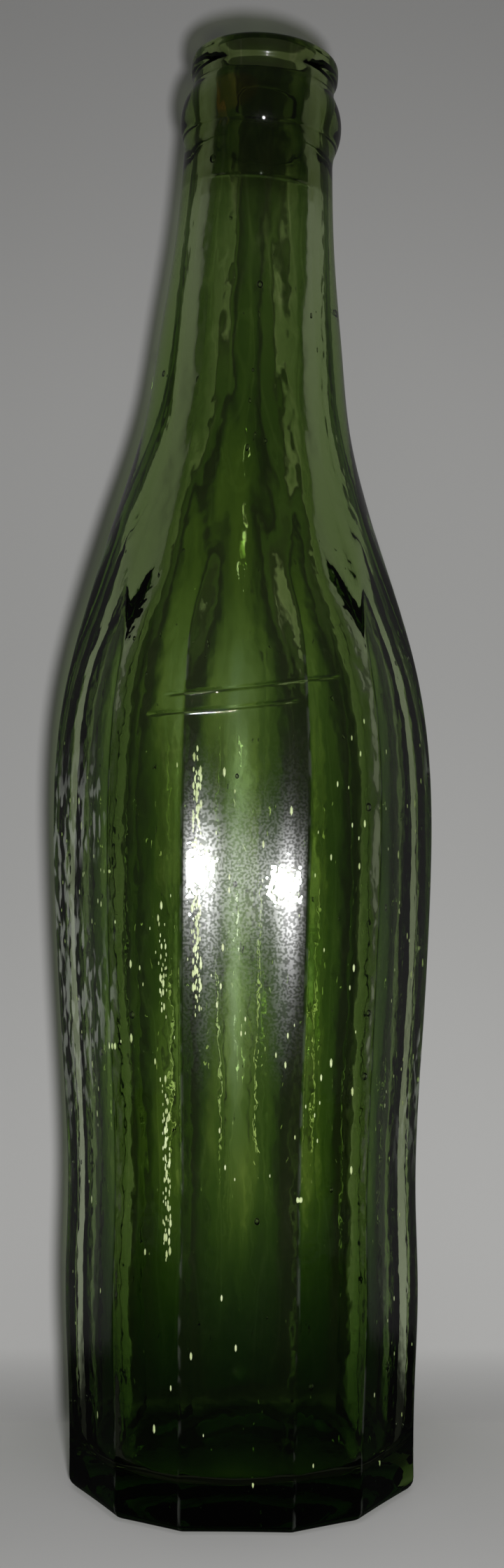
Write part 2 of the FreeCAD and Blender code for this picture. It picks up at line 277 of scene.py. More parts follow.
class StageShape(bpy.types.PropertyGroup):
    """Floor, backdrop, lamps and camera."""

    cloth: colour("Cloth", "Colour of the backdrop", 0.34, 0.338, 0.332)
    pale: colour("Far Cloth", "Colour of the cloth and the room far off", 0.31, 0.31, 0.30)
    floor_light: number("Floor Light", "Light on the floor, as a share of the backdrop's", 0.50)
    backdrop_gap: length("Backdrop Gap", "From the glass to the backdrop", 13.0)
    cove: length("Cove", "Radius between the floor and the backdrop", 12.0)
    reach: length("Reach", "Half the width of the floor", 1500.0)
    floor_front: length("Floor Front", "How far the floor runs forward", 170.0)
    camera_distance: length("Camera Distance", "From the bottle's axis", 345.0)
    camera_height: length("Camera Height", "Above the floor", 111.75)
    camera_side: length("Camera Side", "To the right of the bottle's axis", 1.8)
    lens: number("Lens", "Focal length in millimetres", 43.7)
    shift: number("Shift", "Upward shift of the frame", 0.0494)
    flash: number("Flash", "Power of the lamp by the camera in watts", 0.48)
    flash_size: length("Flash Size", "Width of the lamp by the camera", 20.0)
    flash_spread: angle("Flash Spread", "How wide the lamp by the camera shines", 110.0)
    flash_side: length("Flash Side", "To the right of the camera", 15.0)
    flash_drop: length("Flash Drop", "Below the camera", 24.0)
    fill: number("Fill", "Power of the soft lamp overhead in watts", 1.3)
    fill_size: length("Fill Size", "Width of the lamp overhead", 800.0)
    fill_front: length("Fill Front", "From the bottle forward to the lamp overhead", 500.0)
    fill_rise: length("Fill Rise", "From the bottle's middle up to the lamp overhead", 900.0)
    room: number("Room", "How light the dark side of the room is", 0.035)


# ---------------------------------------------------------------- node trees
class Value:
    """A socket whose arithmetic adds Math nodes to its tree."""

    def __init__(self, tree, socket):
        self.tree = tree
        self.socket = socket

    def maths(self, operation, *others):
        sockets = dict(enumerate([self, *others]))
        return self.tree.add("ShaderNodeMath", {"operation": operation}, sockets)

    def __add__(self, other):
        return self.maths("ADD", other)

    def __radd__(self, other):
        return self.maths("ADD", other)

    def __sub__(self, other):
        return self.maths("SUBTRACT", other)

    def __rsub__(self, other):
        return self.maths("MULTIPLY_ADD", -1.0, other)

    def __mul__(self, other):
        return self.maths("MULTIPLY", other)

    def __rmul__(self, other):
        return self.maths("MULTIPLY", other)

    def __truediv__(self, other):
        return self.maths("DIVIDE", other)

    def __rtruediv__(self, other):
        return self.power(-1.0) * other

    def __gt__(self, other):
        return self.maths("GREATER_THAN", other)

    def __lt__(self, other):
        return self.maths("LESS_THAN", other)

    def sin(self):
        return self.maths("SINE")

    def cos(self):
        return self.maths("COSINE")

    def absolute(self):
        return self.maths("ABSOLUTE")

    def exponent(self):
        return self.maths("EXPONENT")

    def bell(self, width):
        """1 at 0 and less on both sides, by the width."""
        return (0 - (self / width).power(2.0)).exponent()

    def least(self, other):
        return self.maths("MINIMUM", other)

    def most(self, other):
        return self.maths("MAXIMUM", other)

    def power(self, other):
        return self.maths("POWER", other)

    def wrapped(self, high, low):
        return self.maths("WRAP", high, low)

    def softly_least(self, other, distance):
        return self.maths("SMOOTH_MIN", other, distance)

    def between(self, low, high, kind="SMOOTHSTEP"):
        """0 at low and 1 at high, clamped beyond both."""
        settings = {"interpolation_type": kind}
        sockets = {"Value": self, "From Min": low, "From Max": high}
        return self.tree.add("ShaderNodeMapRange", settings, sockets)

    def over(self, zone):
        """0 below a zone and 1 above it."""
        low, high = ZONES[zone]
        return self.between(low * MM, high * MM)

    def edge(self, name):
        """0 below an edge and 1 above it."""
        return self.between(*EDGES[name])

    def under(self, zone):
        """1 below a zone and 0 above it."""
        return 1 - self.over(zone)


class Tree:
    """Adds nodes to a node tree."""

    def __init__(self, nodes):
        self.nodes = nodes

    def add(self, kind, settings=None, sockets=None, output=0):
        """Add a node, set it up, then fill or link its sockets, and return an output."""
        node = self.nodes.nodes.new(kind)
        for name, setting in (settings or {}).items():
            setattr(node, name, setting)
        for name, value in (sockets or {}).items():
            self.fill(node.inputs[name], value)
        chosen = node.outputs[output] if node.outputs else None
        return Value(self, chosen)

    def fill(self, socket, value):
        """Link or set a socket; a colour is given without its alpha."""
        if isinstance(value, Value):
            self.nodes.links.new(value.socket, socket)
        elif socket.type == "RGBA":
            socket.default_value = (*value, 1.0)
        else:
            socket.default_value = value

    def split(self, vector):
        """The X, Y and Z of a vector."""
        node = self.add("ShaderNodeSeparateXYZ", None, {0: vector}).socket.node
        return [Value(self, node.outputs[axis]) for axis in range(3)]

    def join(self, x, y, z):
        return self.add("ShaderNodeCombineXYZ", None, {0: x, 1: y, 2: z})

    def stretched(self, vector, factors):
        settings = {"operation": "MULTIPLY"}
        return self.add("ShaderNodeVectorMath", settings, {0: vector, 1: factors})

    def moved(self, vector, offset):
        return self.add("ShaderNodeVectorMath", {"operation": "ADD"}, {0: vector, 1: offset})

    def mix_colour(self, factor, first, second, blend="MIX"):
        settings = {"data_type": "RGBA", "blend_type": blend}
        return self.add(
            "ShaderNodeMix", settings, {"Factor": factor, 6: first, 7: second}, output=2)

    def noise(self, vector, name):
        """One of the noises, about 0.5."""
        across, along, waves, octaves = NOISES[name]
        if (across, along) != (1.0, 1.0):
            vector = self.stretched(vector, (across, across, along))
        sockets = {"Vector": vector, "Scale": waves, "Detail": octaves}
        return self.add("ShaderNodeTexNoise", None, sockets)

    def scaled(self, vector, factor):
        settings = {"operation": "SCALE"}
        return self.add("ShaderNodeVectorMath", settings, {0: vector, "Scale": factor})


class MaterialTree(Tree):
    """The emptied node tree of a material or a world."""

    def __init__(self, block):
        block.use_nodes = True
        block.node_tree.nodes.clear()
        super().__init__(block.node_tree)

    def place(self):
        """Where a point lies in the frame."""
        return self.add("ShaderNodeTexCoord", None, None, output="Object")

    def attribute(self, name):
        """A number that the mesh carries."""
        settings = {"attribute_type": "GEOMETRY", "attribute_name": name}
        return self.add("ShaderNodeAttribute", settings, None, output="Fac")

    def ray(self, name):
        """What the Light Path node says of a ray."""
        return self.add("ShaderNodeLightPath", None, None, output=name)

    def mixed(self, factor, first, second):
        return self.add("ShaderNodeMixShader", None, {0: factor, 1: first, 2: second})

    def finish(self, sockets, kind="Material"):
        self.add("ShaderNodeOutput" + kind, None, sockets)


class GeometryTree(Tree):
    """A Geometry Nodes tree with named inputs."""

    def __init__(self, name):
        super().__init__(bpy.data.node_groups.new(name, "GeometryNodeTree"))
        interface = self.nodes.interface
        interface.new_socket("Geometry", in_out="OUTPUT", socket_type="NodeSocketGeometry")
        self.entry = self.nodes.nodes.new("NodeGroupInput")
        self.values = {}

    def input(self, name, value, kind="Float"):
        """A named input, with the value that the modifier gives it."""
        socket = self.nodes.interface.new_socket(
            name, in_out="INPUT", socket_type="NodeSocket" + kind)
        self.values[socket.identifier] = value
        return Value(self, self.entry.outputs[name])

    def sizes(self, group, *names):
        """Named inputs for these properties of a property group."""
        return [self.input(group.bl_rna.properties[name].name, getattr(group, name))
                for name in names]

    def attribute(self, name):
        """A number that the mesh carries."""
        return self.add("GeometryNodeInputNamedAttribute", {"data_type": "FLOAT"}, {"Name": name})

    def random(self, least, most, seed):
        """A random number for each point."""
        return self.add("FunctionNodeRandomValue", {"data_type": "FLOAT"},
                        {2: least, 3: most, "Seed": seed}, output=1)

    def step(self, kind, geometry):
        """A node that needs only the geometry."""
        return self.add("GeometryNode" + kind, None, {0: geometry})

    def finish(self, geometry, material):
        """End the tree with its material."""
        final = self.add("GeometryNodeSetMaterial", None,
                         {"Geometry": geometry, "Material": material})
        self.nodes.links.new(final.socket, self.nodes.nodes.new("NodeGroupOutput").inputs[0])

    def make(self, name, material):
        """Run the tree on an empty mesh and return the result as a plain mesh object."""
        carrier = bpy.data.objects.new(name + "_carrier", bpy.data.meshes.new(name))
        bpy.context.scene.collection.objects.link(carrier)
        modifier = carrier.modifiers.new(name, "NODES")
        modifier.node_group = self.nodes
        for identifier, value in self.values.items():
            modifier[identifier] = value
        depsgraph = bpy.context.evaluated_depsgraph_get()
        mesh = bpy.data.meshes.new_from_object(
            carrier.evaluated_get(depsgraph), depsgraph=depsgraph)
        carrier.modifiers.remove(modifier)
        bpy.data.objects.remove(carrier)
        if not mesh.polygons:
            raise RuntimeError(name + " came out empty")
        mesh.name = name
        mesh.materials.clear()
        mesh.materials.append(material)
        piece = bpy.data.objects.new(name, mesh)
        bpy.context.scene.collection.objects.link(piece)
        return piece


# ---------------------------------------------------------------- the outline of the glass
def smooth_curve(heights, values):
    """A smooth function of the height through the stations: a natural cubic spline."""
    gaps = np.diff(heights)
    slopes = np.diff(values) / gaps
    size = len(heights)
    matrix = np.eye(size)
    right = np.zeros(size)
    for row in range(1, size - 1):
        matrix[row, row - 1] = gaps[row - 1]
        matrix[row, row] = 2 * (gaps[row - 1] + gaps[row])
        matrix[row, row + 1] = gaps[row]
        right[row] = 6 * (slopes[row] - slopes[row - 1])
    bends = np.linalg.solve(matrix, right)

    def value_at(height):
        place = int(np.clip(np.searchsorted(heights, height) - 1, 0, size - 2))
        gap = gaps[place]
        after = (height - heights[place]) / gap
        before = 1 - after
        bend = (before ** 3 - before) * bends[place] + (after ** 3 - after) * bends[place + 1]
        return before * values[place] + after * values[place + 1] + bend * gap * gap / 6

    return value_at


def line(start, end, steps):
    """Points from start up to, but not at, end."""
    return [tuple(np.array(start) + (np.array(end) - start) * step / steps)
            for step in range(steps)]


def arc(centre, radius, first, last, steps):
    """Points on an arc, from its first angle up to, but not at, its last, in degrees."""
    turns = np.radians(first + (last - first) * np.arange(steps) / steps)
    return [(centre[0] + radius * math.cos(turn), centre[1] + radius * math.sin(turn))
            for turn in turns]


def arc_through(start, middle, end, steps):
    """Points on the arc through three points, up to, but not at, its end."""
    matrix = 2 * np.array([np.subtract(middle, start), np.subtract(end, start)])
    squares = [np.dot(point, point) for point in (start, middle, end)]
    centre = np.linalg.solve(matrix, [squares[1] - squares[0], squares[2] - squares[0]])
    first, last = (math.degrees(math.atan2(point[1] - centre[1], point[0] - centre[0]))
                   for point in (start, end))
    radius = math.dist(start, centre)
    return arc(centre, radius, first, last, steps)


def relaxed(points, passes):
    """Soften the corners of a run of points, whose ends stay."""
    places = np.array(points)
    for _ in range(passes):
        places[1:-1] = places[1:-1] / 2 + (places[:-2] + places[2:]) / 4
    return [tuple(place) for place in places]


def finish_outline(finish, neck_top, neck_radius, bore_radius):
    """Outside of the collar and lip, over the mouth and down its bore."""
    def at(radius, height):
        return (radius, neck_top + height)

    collar_end = finish.collar_start + finish.collar_height
    lip_start = collar_end + finish.groove_width
    lip_top = lip_start + finish.lip_height
    groove = finish.lip_radius - finish.groove_depth
    mouth = finish.lip_radius - finish.lip_wall
    widest = at(neck_radius + finish.collar_stand, finish.collar_start + finish.collar_middle)
    round_out, round_in = finish.lip_round, finish.mouth_round
    points = line(at(neck_radius, 0), at(neck_radius, finish.collar_start), 3)
    points += arc_through(
        at(neck_radius, finish.collar_start), widest, at(groove, collar_end), 14)
    points += line(at(groove, collar_end), at(groove, lip_start), 6)
    points += line(at(groove, lip_start), at(finish.lip_radius, lip_start + finish.lip_step), 4)
    points += line(at(finish.lip_radius, lip_start + finish.lip_step),
                   at(finish.lip_radius, lip_top - round_out), 4)
    points += arc(at(finish.lip_radius - round_out, lip_top - round_out), round_out, 0, 90, 7)
    points += line(at(finish.lip_radius - round_out, lip_top), at(mouth + round_in, lip_top), 5)
    points += arc(at(mouth + round_in, lip_top - round_in), round_in, 90, 180, 6)
    points += line(at(mouth, lip_top - round_in), at(bore_radius, 0), 12)
    return relaxed(points, 2)


def glass_outline(shape, finish):
    """Rows of (radius, height, share of the panels, inside) from under the base to the floor."""
    heights = [station[1] * MM for station in STATIONS]
    outer_at = smooth_curve(heights, [station[2] * MM for station in STATIONS])
    inner_at = smooth_curve(heights, [(station[2] - station[3]) * MM for station in STATIONS])
    top = heights[-1]
    foot = outer_at(0.0)
    heel = shape.heel_round
    dome = (shape.push_up_radius ** 2 + shape.push_up ** 2) / (2 * shape.push_up)
    dome_angle = math.degrees(math.asin(shape.push_up_radius / dome))
    under = arc((0.0, shape.push_up - dome), dome, 90, 90 - dome_angle, 8)
    ring = line((shape.push_up_radius, 0.0), (foot - heel, 0.0), 4)
    bend = arc((foot - heel, heel), heel, -90, 0, 5)
    steps = round((top - heel) / shape.row_step)
    levels = np.linspace(heel, top, steps, endpoint=False)
    side = [(outer_at(level), level) for level in levels]
    mouth = finish_outline(finish, top, outer_at(top), inner_at(top))
    low = shape.base_glass + shape.floor_round
    steps = round((top - low) / shape.row_step)
    levels = np.linspace(top, low, steps, endpoint=False)
    bore = [(inner_at(level), level) for level in levels]
    wall = inner_at(low)
    floor_bend = arc((wall - shape.floor_round, low), shape.floor_round, 0, -90, 7)
    floor = line((wall - shape.floor_round, shape.base_glass), (0.0, shape.base_glass), 9)
    rows = [(radius, height, 0.0, 0.0) for radius, height in under]
    rows += [(radius, height, place / len(ring), 0.0)
             for place, (radius, height) in enumerate(ring)]
    lip_top = max(height for radius, height in mouth)
    middle = finish.lip_radius - finish.lip_wall + finish.mouth_round
    rows += [(radius, height, 1.0, 0.0) for radius, height in bend + side]
    rows += [(radius, height, 1.0, float(radius < middle and height < lip_top))
             for radius, height in mouth]
    rows += [(radius, height, 0.0, 1.0) for radius, height in bore + floor_bend + floor]
    rows.append((0.0, shape.base_glass, 0.0, 1.0))
    return rows


def outline_object(rows):
    """The outline as a run of vertices that carry what each row needs."""
    mesh = bpy.data.meshes.new("outline")
    mesh.from_pydata([(radius, 0.0, height) for radius, height, _, _ in rows],
                     [(row, row + 1) for row in range(len(rows) - 1)], [])
    for name, column in (("panels", 2), ("inside", 3)):
        layer = mesh.attributes.new(name, "FLOAT", "POINT")
        layer.data.foreach_set("value", [row[column] for row in rows])
    outline = bpy.data.objects.new("outline", mesh)
    bpy.context.scene.collection.objects.link(outline)
    return outline


# ---------------------------------------------------------------- the glass
def row_value(tree, outline, row, name):
    """An attribute of the outline at a row."""
    settings = {"data_type": "FLOAT", "domain": "POINT"}
    return tree.add("GeometryNodeSampleIndex", settings,
                    {"Geometry": outline, "Value": tree.attribute(name), "Index": row})


# How strongly the faces of a panel crowd towards its ridges.
CROWDING = 0.35


def panel_angle(share, wide_half):
    """The angle round the bottle, with faces crowded towards the ridges, and how near a
    ridge it is, from 0 in the middle of a panel to 1."""
    pairs = share * float(PANELS_OF_A_KIND)
    whole = pairs.maths("FLOOR")
    part = pairs - whole
    narrow = part > 0.5
    across = (part * 2 - narrow) * 2 - 1
    crowded = across * (1 + CROWDING - across * across * CROWDING)
    wide_turn = crowded * wide_half + wide_half
    narrow_half = PITCH / 2 - wide_half
    narrow_turn = (crowded + 1) * narrow_half + wide_half * 2
    turn = wide_turn + (narrow_turn - wide_turn) * narrow
    return whole * PITCH + turn - wide_half - math.pi / 2, crowded.absolute()


# Below this share a panel has run out.  Its plane then moves clear of the round glass, by
# RUN_OUT * CLEARANCE metres where nothing of the panel is left.
RUN_OUT = 0.02
CLEARANCE = 0.1


def to_panel(radius, direction, fullness, half, depth, hollow):
    """Distance from the axis to the hollow face of one kind of panel."""
    off = direction.wrapped(PITCH / 2, -PITCH / 2)
    flat = (radius - fullness * depth) * (fullness * half).cos()
    clear = (RUN_OUT - fullness).most(0.0) * CLEARANCE
    side = off / half
    sunk = (1 - side * side).most(0.0) * hollow * fullness
    return (flat + clear - sunk) / off.cos()


# Points nearer than this many millimetres are made one.
MERGED = 0.004


def glass_geometry(shape, flow, outline, rows, material):
    """The tree that wraps the outline round the axis, presses the panels and lets it flow."""
    tree = GeometryTree("bottle_glass")
    drawn = tree.input("Outline", outline, "Object")
    around = tree.input("Faces Across a Panel", shape.around, "Int")
    wide_half, depth, soft = tree.sizes(shape, "wide_half", "ridge_depth", "ridge_round")
    hollow, mark = tree.sizes(shape, "hollow", "mark")
    twist_foot, twist_top = tree.sizes(shape, "twist_foot", "twist_top")
    lean_start, lean, tilt = tree.sizes(shape, "lean_start", "lean_angle", "finish_tilt")
    outer_wave, inner_wave = tree.sizes(flow, "outer_wave", "inner_wave")
    streak, fluting = tree.sizes(flow, "streak", "fluting")
    seed = tree.input("Seed", float(flow.seed))
    finish_of_glass = tree.input("Glass", material, "Material")

    info = tree.add("GeometryNodeObjectInfo", None, {"Object": drawn}, output="Geometry")
    columns = around * (2.0 * PANELS_OF_A_KIND) + 1
    grid = tree.add("GeometryNodeMeshGrid", None,
                    {"Size X": 1.0, "Size Y": 1.0, "Vertices X": columns, "Vertices Y": rows})
    across, along, _ = tree.split(tree.add("GeometryNodeInputPosition"))
    row = ((along + 0.5) * float(rows - 1)).maths("ROUND")
    place = tree.add("GeometryNodeSampleIndex", {"data_type": "FLOAT_VECTOR"},
                     {"Geometry": info, "Value": tree.add("GeometryNodeInputPosition"),
                      "Index": row})
    blank, _, height = tree.split(place)
    panels = row_value(tree, info, row, "panels")
    inside = row_value(tree, info, row, "inside")

    # The panels, which twist a little and run out on the shoulder.
    direction, ridge = panel_angle(across + 0.5, wide_half)
    up = height.between(0.0, TWIST_END * MM, "LINEAR")
    twist = twist_foot + (twist_top - twist_foot) * up
    wide_full, narrow_full = (
        (1 - height.between(low * MM, high * MM)) * panels for low, high in (WIDE_END, NARROW_END))
    narrow_half = PITCH / 2 - wide_half
    front = direction + math.pi / 2
    wide = to_panel(blank, front, wide_full, wide_half, depth, hollow)
    less = hollow * (narrow_half / wide_half).power(2.0)
    narrow = to_panel(blank, front + PITCH / 2, narrow_full, narrow_half, depth, less)
    blend = soft * narrow_full
    flat = blank.softly_least(wide, blend).softly_least(narrow, blend)
    swing = (front.wrapped(math.pi, -math.pi) - MARK_TURN) / MARK_REACH
    off_level = ((height - MARK_HEIGHT) / MARK_TALL).power(2.0)
    off_side = (swing / MARK_EDGE).power(MARK_EDGE)
    stamp = swing.sin() * (0 - off_side - off_level).exponent() * mark
    pressed = flat + stamp * (1 - inside)

    # The lean of the neck and the tilt of its sections.
    top = STATIONS[-1][1] * MM
    turned = direction + twist * panels
    rise = (height - lean_start).most(0.0).least(top - lean_start)
    above = (height - top).most(0.0)
    tip = rise / (top - lean_start) * tilt
    outward = pressed * turned.cos()
    x = outward * tip.cos() + rise * lean.maths("TANGENT") + above * tilt.sin()
    y = pressed * turned.sin()
    z = height.least(top) + above * tilt.cos() - outward * tip.sin()
    marked = grid
    for name, value in (("inside", inside), ("ridge", ridge * wide_full)):
        marked = tree.add("GeometryNodeStoreNamedAttribute",
                          {"data_type": "FLOAT", "domain": "POINT"},
                          {"Geometry": marked, "Name": name, "Value": value})
    placed = tree.add("GeometryNodeSetPosition", None,
                      {"Geometry": marked, "Position": tree.join(x, y, z)})
    closed = tree.add("GeometryNodeMergeByDistance", None,
                      {"Geometry": placed, "Distance": MERGED * MM})

    flowed = flow_glass(tree, closed, outer_wave, inner_wave, streak, fluting, seed)
    smooth = tree.step("SetShadeSmooth", flowed)
    tree.finish(tree.step("RealizeInstances", smooth), finish_of_glass)
    return tree


# The share of the inside's streaks that is left below the neck.
STREAKS_BELOW = 0.15


def flow_glass(tree, glass, outer_wave, inner_wave, streak, fluting, seed):
    """Slow waves on both sides of the glass, and upright streaks on the inside."""
    position = tree.add("GeometryNodeInputPosition")
    shifted = tree.moved(position, tree.join(seed, seed * 2, seed * 3))
    named = tree.attribute("inside")
    _, _, height = tree.split(position)
    slow, broad, upright, flute = (
        tree.noise(shifted, name) - 0.5
        for name in ("outer wave", "inner wave", "streaks", "flutes"))
    in_neck = height.over("neck's streaks")
    streaks = STREAKS_BELOW + in_neck * (1 - STREAKS_BELOW)
    inner = broad * inner_wave + upright * streak * streaks + flute * fluting
    inner = inner * 2 * height.under("mouth")
    outer = slow * outer_wave * 2
    amount = (outer + (inner - outer) * named) * height.over("foot")
    offset = tree.scaled(tree.add("GeometryNodeInputNormal"), amount)
    return tree.add("GeometryNodeSetPosition", None, {"Geometry": glass, "Offset": offset})


def fold_line(x, z, fold):
    """A fine raised line across the front of the shoulder, where the hot glass folded."""
    level, slope, bow, start, end = (size * MM for size in fold)
    run = x / FOLD_RUN
    path = z - level - run * slope - run * run * bow
    ends = x.between(start, start + FOLD_TAPER)
    return path.bell(FOLD_WIDTH) * ends * (1 - x.between(end - FOLD_TAPER, end))


def seam_reach(x, y):
    """How far round the front of the neck the seam shows."""
    return (x - FINISH_SIDE).absolute().under("seam's end") * (y < 0)


def along_finish(tree, place):
    """Height measured along the tilted axis of the collar and lip."""
    x, _, z = tree.split(place)
    return z + (x - FINISH_SIDE) * math.tan(math.radians(FINISH_TILT))


def glass_relief(tree, place, inside, ridge):
    """Height of the fine relief: orange peel and folds outside, lumps inside."""
    peel, peel_on_ridges = 0.009 * MM, 0.016 * MM
    fold, line, line_width = 0.30 * MM, 0.06 * MM, 0.25 * MM
    groove, groove_width = 0.22 * MM, 0.30 * MM
    lump, lump_in_neck = 0.14 * MM, 0.03 * MM
    x, y, z = tree.split(place)
    rough = ridge.edge("rough ridges")
    folds = fold_line(x, z, FOLDS[0]) + fold_line(x, z, FOLDS[1])
    outer = tree.noise(place, "orange peel") * (peel + rough * peel_on_ridges)
    outer = outer + folds * (y < 0) * fold
    level = along_finish(tree, place)
    sunk = (level - FINISH_SEAM).bell(groove_width) * seam_reach(x, y)
    raised = (level - COLLAR_LINE).bell(line_width)
    outer = outer + raised * line - sunk * groove
    inner = tree.noise(place, "lumps") * (lump + z.over("neck's lumps") * lump_in_neck)
    return outer + (inner - outer) * inside


def painted_light_strip(x, z, mottle):
    """Painted light: a pale strip down the front, where light through the glass falls on the cloth
    behind, and a painted highlight at its top.
    """
    strip_side, glow_side = 0.8 * MM, 1.0 * MM
    glow_level, glow_across, glow_up = 145.5 * MM, 10 * MM, 12 * MM
    strip = (x + strip_side).absolute().under("clean strip's side") * z.over("clean strip")
    strip = strip * z.under("clean strip's end")
    away = ((x + glow_side) / glow_across).power(2.0)
    away = away + ((z - glow_level) / glow_up).power(2.0)
    return (strip * mottle.edge("clean strip")).most((0 - away).exponent())


def film_painted_light(tree, place, x, z, mottle):
    """How light the tint inside is, from 0 to 1: mottled, with pale upright lines that are painted
    caustics, painted light on the shoulder, and painted shade on the flanks, in the neck and low
    down.
    """
    caustic_sharpness, flank_painted_shade, low_down = 34, 0.55, 0.15
    from_mottle, from_painted_caustics, everywhere, painted_light_on_shoulder, neck_painted_shade = 0.42, 0.55, 0.22, 0.50, 0.10
    # Pale upright lines in the tint are painted caustics: light focused by the glass onto the
    # cloth behind.
    caustic_noise = tree.noise(place, "painted caustics")
    line = 1 - ((caustic_noise - 0.5).absolute() * caustic_sharpness).least(1.0)
    # Painted light: the tint is lighter on the shoulder.
    shoulder = z.over("shoulder") * z.under("shoulder's end")
    light = mottle.edge("film_and_painted_shade") * from_mottle + line * from_painted_caustics
    # Painted shade: the tint is darker on the flanks beside the front panel and in the neck.
    flank = x.over("right flank").most((0 - x).over("left flank")) * z.under("flanks' end")
    light = light + everywhere - z.over("neck's film") * neck_painted_shade + shoulder * painted_light_on_shoulder
    light = light * (1 - flank * flank_painted_shade)
    # Painted shade: the tint darkens low down.
    return (light * (low_down + z.over("low_painted_shade") * (1 - low_down))).least(1.0)


def inner_shade(tree, place, looks):
    """Tint on the inside of the glass: a film that is mostly painted shade for the shadowed cloth
    seen through the core, with painted light and shade in it, painted shade low down and in the
    collar, and a real rusty stain in the collar.
    """
    stain_side, stain_level = 1.5 * MM, 247.5 * MM
    stain_across, stain_up, stain_ragged, stain_strength = 4.2 * MM, 2.2 * MM, 1.6, 0.75
    x, y, z = tree.split(place)
    mottle = tree.noise(place, "mottle")
    shade = tree.mix_colour(film_painted_light(tree, place, x, z, mottle), looks.film_and_painted_shade, looks.film_painted_light)
    # Painted light: the tint turns pale down the front and in the glow at the top.
    shade = tree.mix_colour(painted_light_strip(x, z, mottle), shade, looks.clean)
    # Painted shade: darker low down inside.
    shade = tree.mix_colour(z.under("low_painted_shade"), shade, looks.low_painted_shade, "MULTIPLY")
    # Painted shade: the tint is darker inside the collar and lip.
    shade = tree.mix_colour(z.over("finish"), shade, looks.darkening, "MULTIPLY")
    # Painted shade: the tint darkens where the inside is seen aslant, so the edges of the core
    # stay dark.
    slant = tree.add("ShaderNodeLayerWeight", None, {"Blend": 0.5}, output="Facing")
    shade = tree.mix_colour(slant.edge("slant"), shade, looks.slant, "MULTIPLY")
    blot = ((x + stain_side) / stain_across).power(2.0)
    blot = blot + ((z - stain_level) / stain_up).power(2.0)
    stain = (1 - (blot + (mottle - 0.5) * stain_ragged).edge("stain")) * (y < 0)
    return tree.mix_colour(stain * stain_strength, shade, looks.stain)


def outer_shade(tree, place, looks):
    """Darker tint outside: painted shade on the collar and lip, a painted shadow line in the seam
    under the collar, and a darker right flank.
    """
    least_darkening, flank_darkening, seam_shadow_width, seam_shadow_strength = 0.7, 0.45, 0.35 * MM, 0.9
    patches = tree.noise(place, "darkening")
    x, y, z = tree.split(place)
    seam = along_finish(tree, place) - FINISH_SEAM
    front = y < 0
    edge = seam.over("front of the seam") * front + seam.over("back of the seam") * (1 - front)
    # Painted shade on the collar and lip, broken up by a noise.
    darkening = edge * (least_darkening + patches.edge("darkening") * (1 - least_darkening))
    flank = x.over("darkened flank") * z.under("darkened flank's end") * z.over("darkened flank's foot")
    # The right flank is darker.
    darkening = darkening.most(flank * flank_darkening)
    shade = tree.mix_colour(darkening, WHITE, looks.darkening)
    # Painted shadow: a dark line in the seam under the collar.
    seam_shadow = seam.bell(seam_shadow_width) * seam_reach(x, y)
    return tree.mix_colour(seam_shadow * seam_shadow_strength, shade, looks.darkening, "MULTIPLY")


def scuff_mask(tree, place, inside, ridge):
    """Where the outside is rubbed: patches of fine upright scratches."""
    on_ridges = 0.10
    x, _, z = tree.split(place)
    patch = tree.noise(place, "rubbed patches")
    scratch = tree.noise(place, "scratches")
    fine = scratch.edge("scratches")
    flank = x.absolute().over("rubbed flank") * z.over("rubbed foot")
    flank = flank * z.under("rubbed end") * patch.edge("rubbed patches")
    worn = ridge.edge("worn ridges") * scratch.edge("worn scratches") * on_ridges
    return (flank * fine).most(worn) * (1 - inside)


def sheen_mask(tree, place, inside, ridge):
    """Where the outside has a soft sheen: a belt round the body, and the collar and lip."""
    least_wear, least_grit = 0.22, 0.35
    streaks = tree.noise(place, "sheen")
    grit = tree.noise(place, "grit").edge("grit")
    _, _, z = tree.split(place)
    belt = (z.over("belt") * z.under("belt's end")).most(z.over("finish's sheen"))
    wear = streaks.edge("streaks") * ridge.edge("shiny ridges")
    wear = least_wear + wear * (1 - least_wear)
    return wear * (1 - inside) * belt * (least_grit + grit * (1 - least_grit))


def glass_material(looks):
    """Green glass: most of its colour is in its thickness, the rest in a tint inside that is
    partly film and mostly painted shade, with painted light in places.
    """
    sheen_strength, sheen_roughness, scuff_strength = 0.5, 0.22, 0.30
    material = bpy.data.materials.new("green_glass")
    tree = MaterialTree(material)
    place = tree.place()
    inside = tree.attribute("inside")
    ridge = tree.attribute("ridge")
    bump = tree.add("ShaderNodeBump", None, {
        "Strength": 1.0, "Distance": 1.0, "Height": glass_relief(tree, place, inside, ridge)})
    outside = outer_shade(tree, place, looks)
    shade = tree.mix_colour(inside, outside, inner_shade(tree, place, looks))
    glass = tree.add("ShaderNodeBsdfPrincipled", None, {
        "Base Color": shade,
        "Roughness": 0.0,
        "IOR": looks.bend,
        "Transmission Weight": 1.0,
        "Coat Weight": sheen_mask(tree, place, inside, ridge) * sheen_strength,
        "Coat Roughness": sheen_roughness,
        "Normal": bump,
    })
    rubbed = tree.add("ShaderNodeBsdfDiffuse", None, {"Color": looks.scuff})
    scuffed = tree.mixed(scuff_mask(tree, place, inside, ridge) * scuff_strength, glass, rubbed)
    # Lamps and bounced light pass through the glass tinted by the same colours, painted light and
    # shade included, with a darker rim.
    facing = tree.add("ShaderNodeLayerWeight", None, {"Blend": 0.5}, output="Facing")
    shaded = tree.mix_colour(facing.edge("rim"), shade, looks.rim)
    clear = tree.add("ShaderNodeBsdfTransparent", None, {"Color": shaded})
    bent = tree.mixed(tree.ray("Is Diffuse Ray"), scuffed, clear)
    surface = tree.mixed(tree.ray("Is Shadow Ray"), bent, clear)
    depth = tree.add("ShaderNodeVolumeAbsorption", None,
                     {"Color": looks.passes, "Density": looks.density})
    tree.finish({"Surface": surface, "Volume": depth})
    return material


